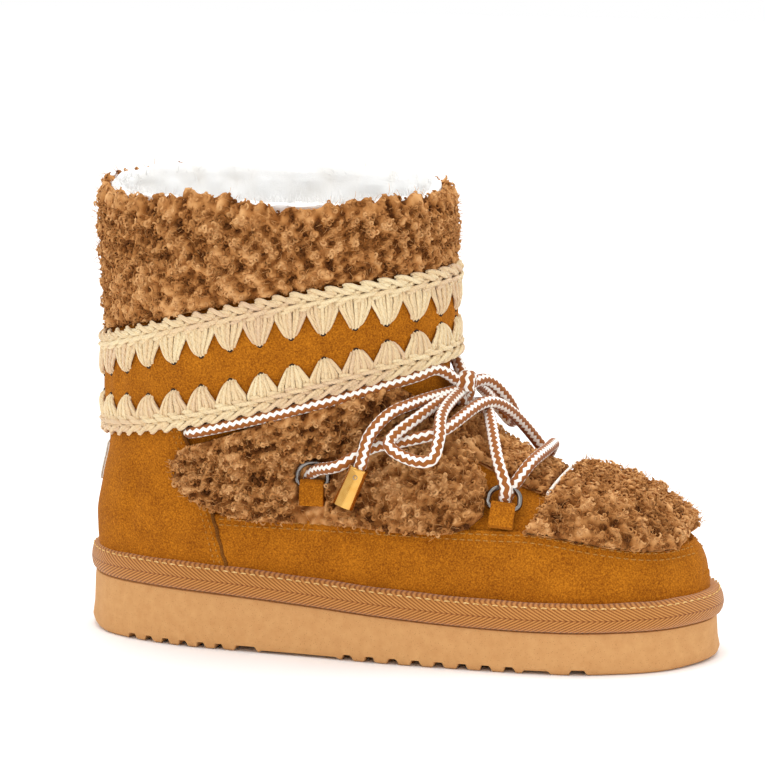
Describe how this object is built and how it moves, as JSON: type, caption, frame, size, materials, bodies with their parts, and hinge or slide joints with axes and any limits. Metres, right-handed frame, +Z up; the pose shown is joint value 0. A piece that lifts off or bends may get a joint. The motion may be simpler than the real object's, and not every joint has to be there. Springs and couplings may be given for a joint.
{
  "type": "mukluk boot",
  "caption": "Ankle-high mukluk boot with a thick wedge sole, suede foot, curly sheepskin cuff and panels, a crochet-edged ankle band and a cord bow.",
  "frame": {"origin": "on the floor, in the middle of the flat pad under the back of the heel", "axes": "+X from heel to toe, +Y to the inner (medial) side of a right foot, +Z up"},
  "size_m": [0.2703, 0.1151, 0.1906],
  "materials": {
    "foam_sole": "matte moulded foam, fine pores",
    "tape": "herringbone woven tape",
    "insole": "wool fleece on foam",
    "upper": "sheepskin, skin side out and wool side in",
    "suede": "brushed ochre suede",
    "patch": "plain off-white leather",
    "curls": "curly sheepskin pile",
    "crochet": "variegated cream wool yarn",
    "ring_steel": "dark polished steel",
    "braid": "round braid, brown and white",
    "tip_gold": "polished gold-coloured metal"
  },
  "bodies": {
    "root": {"outsole": "foam_sole", "rand": "tape", "insole": "insole", "upper": "upper", "side_guard": "suede", "heel_counter": "suede", "heel_patch": "patch", "fur_cuff": "curls", "fur_tongue": "curls", "fur_toe": "curls", "ankle_band": "suede", "trim_low": "crochet", "trim_high": "crochet", "lace_crossings": "braid", "lace_bow": "braid", "fur_quarter_lateral": "curls", "tab_rear_lateral": "suede", "ring_rear_lateral": "ring_steel", "tab_front_lateral": "suede", "ring_front_lateral": "ring_steel", "lace_run_lateral": "braid", "lace_tip_lateral": "tip_gold", "fur_quarter_medial": "curls", "tab_rear_medial": "suede", "ring_rear_medial": "ring_steel", "tab_front_medial": "suede", "ring_front_medial": "ring_steel", "lace_run_medial": "braid", "lace_tip_medial": "tip_gold"}
  },
  "joints": []
}
